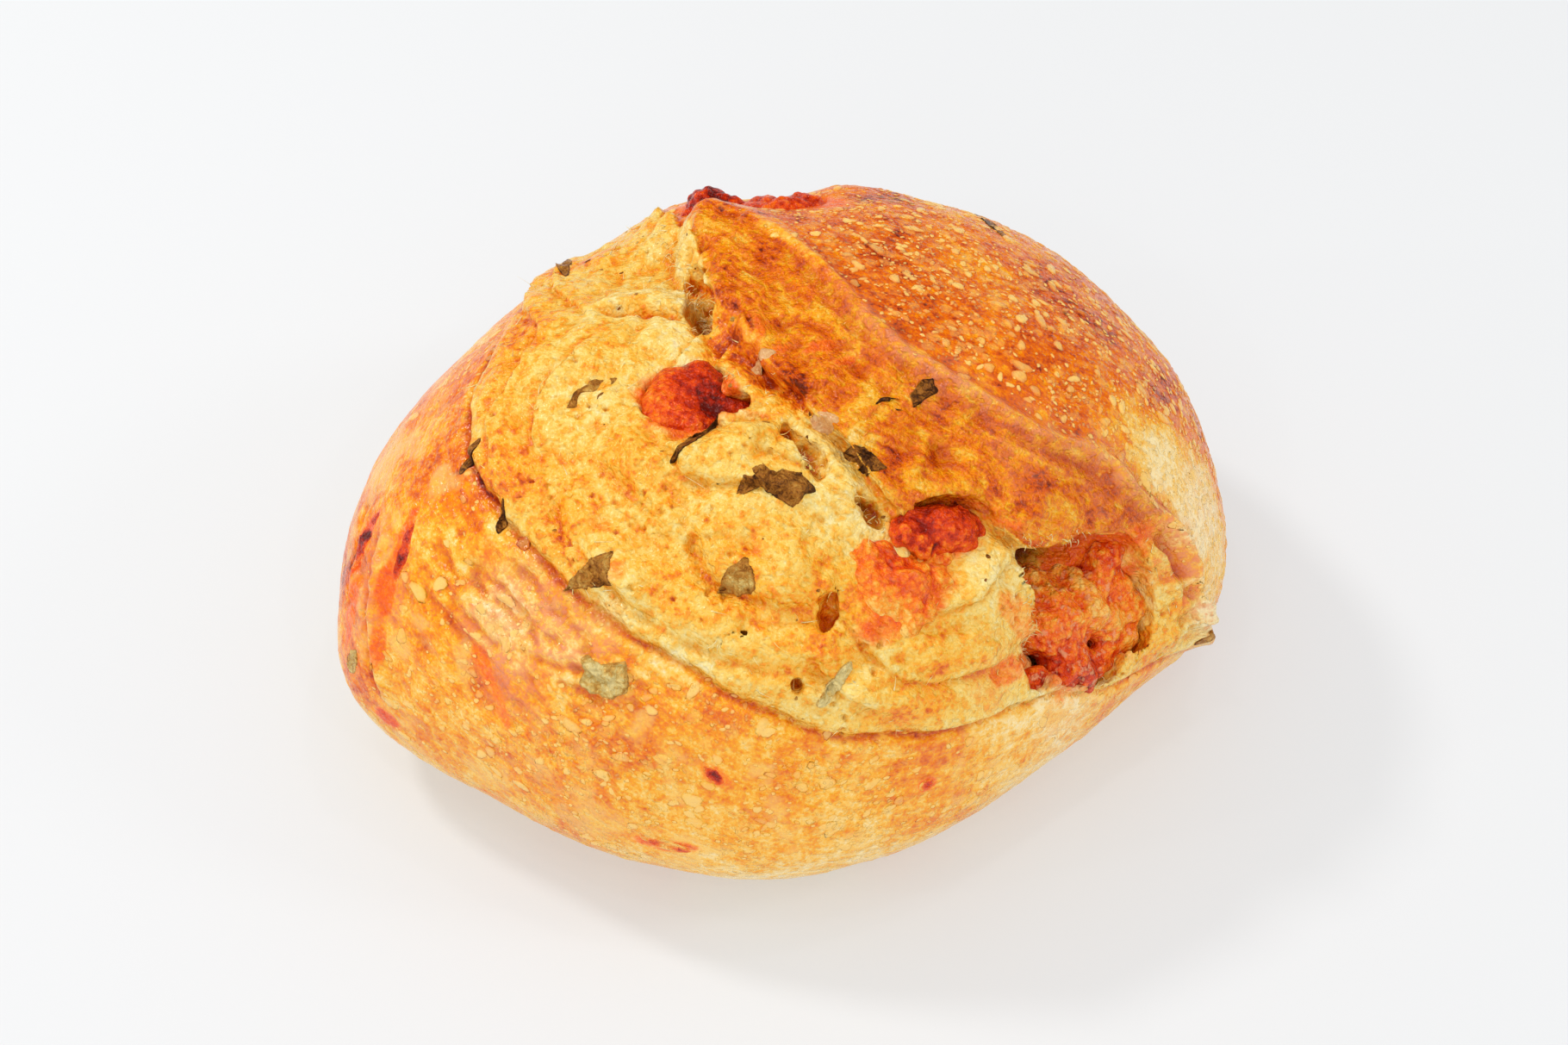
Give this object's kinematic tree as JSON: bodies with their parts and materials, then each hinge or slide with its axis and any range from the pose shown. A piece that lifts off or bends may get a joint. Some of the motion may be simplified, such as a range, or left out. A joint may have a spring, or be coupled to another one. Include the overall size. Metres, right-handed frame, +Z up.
{
  "type": "sourdough loaf",
  "caption": "Round hand-shaped sourdough loaf with a raised ear over a torn bloom, an opening at its right end, and baked cheese and roasted pepper set in crust and crumb.",
  "frame": {"origin": "middle of the flat base, under the centre of the loaf's bounding box", "axes": "+Z up, +X along the loaf's longest side towards the opening at its right end, -Y towards the torn bloom in front"},
  "size_m": [0.2209, 0.1962, 0.1152],
  "materials": {
    "crust": "baked bread crust, golden to orange brown, lightly blistered, satin, with matt yellow crumb where it has torn",
    "cheese": "baked red-orange cheese, bubbled and oily, dark at its edges",
    "pepper": "roasted green pepper, olive to brown, wrinkled skin"
  },
  "bodies": {
    "root": {"loaf": "crust", "cheese_in_opening": "cheese", "cheese_in_pocket": "cheese", "cheese_under_ear": "cheese", "cheese_fan": "cheese", "cheese_back_knob": "cheese", "cheese_back_mass": "cheese", "cheese_left_band": "cheese", "cheese_left_end": "cheese", "cheese_front_spot": "cheese", "cheese_low_spot": "cheese", "cheese_low_strip": "cheese", "pepper_wedge": "pepper", "pepper_cube": "pepper", "pepper_tooth": "pepper", "pepper_flake": "pepper", "pepper_pocket_strip": "pepper", "pepper_leaf": "pepper", "pepper_rim_strip": "pepper", "pepper_rim_chip": "pepper", "pepper_curl": "pepper", "pepper_scrap": "pepper", "pepper_stalk": "pepper", "pepper_back_strip": "pepper", "pepper_crust_strip": "pepper", "pepper_right_end": "pepper", "pepper_left_end": "pepper"}
  },
  "joints": []
}
